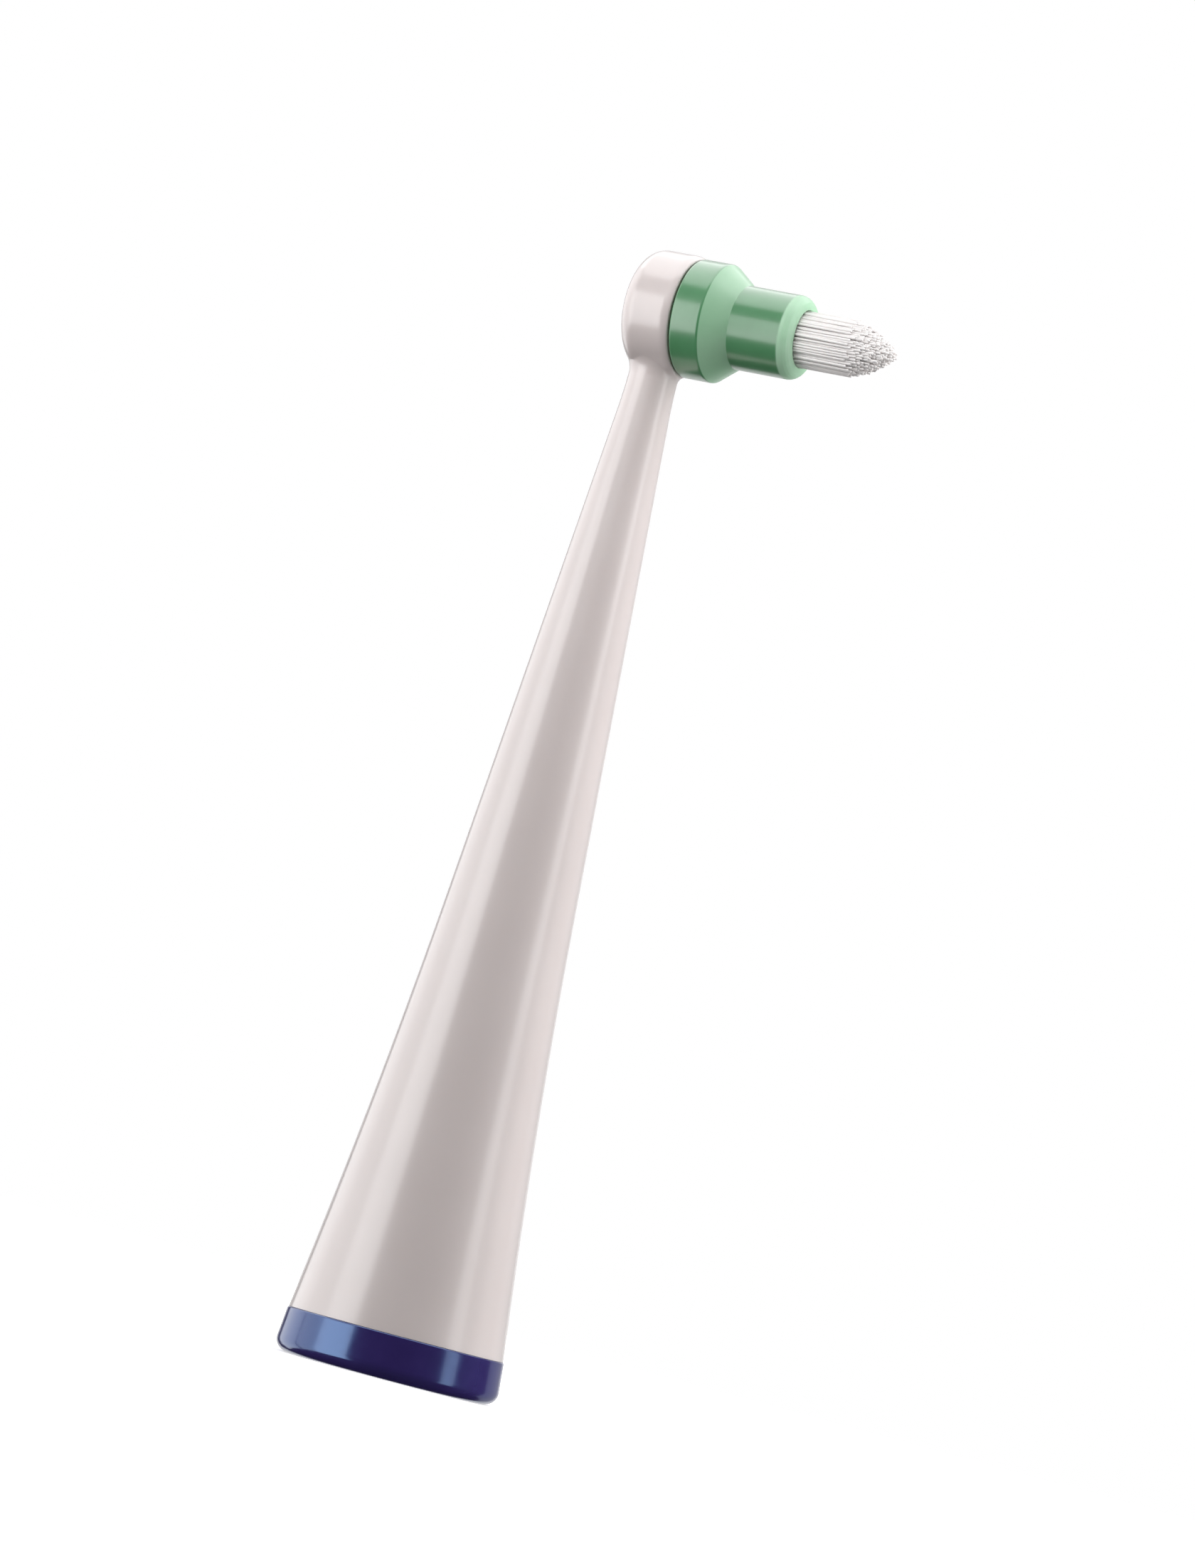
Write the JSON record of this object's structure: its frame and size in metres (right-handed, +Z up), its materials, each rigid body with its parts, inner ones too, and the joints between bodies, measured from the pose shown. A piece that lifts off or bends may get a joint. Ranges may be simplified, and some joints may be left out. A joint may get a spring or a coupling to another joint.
{
  "type": "interspace toothbrush attachment",
  "caption": "Push-on interspace brush attachment with a tapered neck, a round rocking carrier and a pointed tuft driven by a rod in the neck.",
  "frame": {"origin": "centre of the handle socket's mouth, at the foot of the ring", "axes": "+Z up the neck towards the head, +X the way the tuft points"},
  "size_m": [0.0252, 0.0156, 0.08],
  "materials": {
    "white_shell": "glossy moulded white",
    "blue_ring": "glossy dark indigo",
    "green_carrier": "satin green",
    "nylon": "translucent filament",
    "pale_insert": "satin moulded",
    "acetal": "satin moulded",
    "steel": "drawn and ground",
    "spring_steel": "rolled strip"
  },
  "bodies": {
    "neck": {"neck_shell": "white_shell", "id_ring": "blue_ring", "socket_insert": "pale_insert", "neck_bush": "pale_insert", "axle_pin": "steel", "retaining_pin": "steel"},
    "drive": {"drive_rod": "steel", "rod_coupler": "acetal", "coupler_clip": "spring_steel"},
    "carrier": {"tuft_carrier": "green_carrier", "tuft": "nylon"}
  },
  "joints": [
    {"name": "rod_swing", "type": "hinge", "parent": "neck", "child": "drive", "pos_m": [0, 0, 0.02], "axis": [0, 0, 1], "range_deg": [-22.5, 22.5]},
    {"name": "carrier_swing", "type": "hinge", "parent": "neck", "child": "carrier", "pos_m": [0, 0, 0.0757], "axis": [1, 0, 0], "range_deg": [-22.5, 22.5]}
  ],
  "couplings": [
    {"joint": "carrier_swing", "follows": "rod_swing", "ratio": 1}
  ]
}
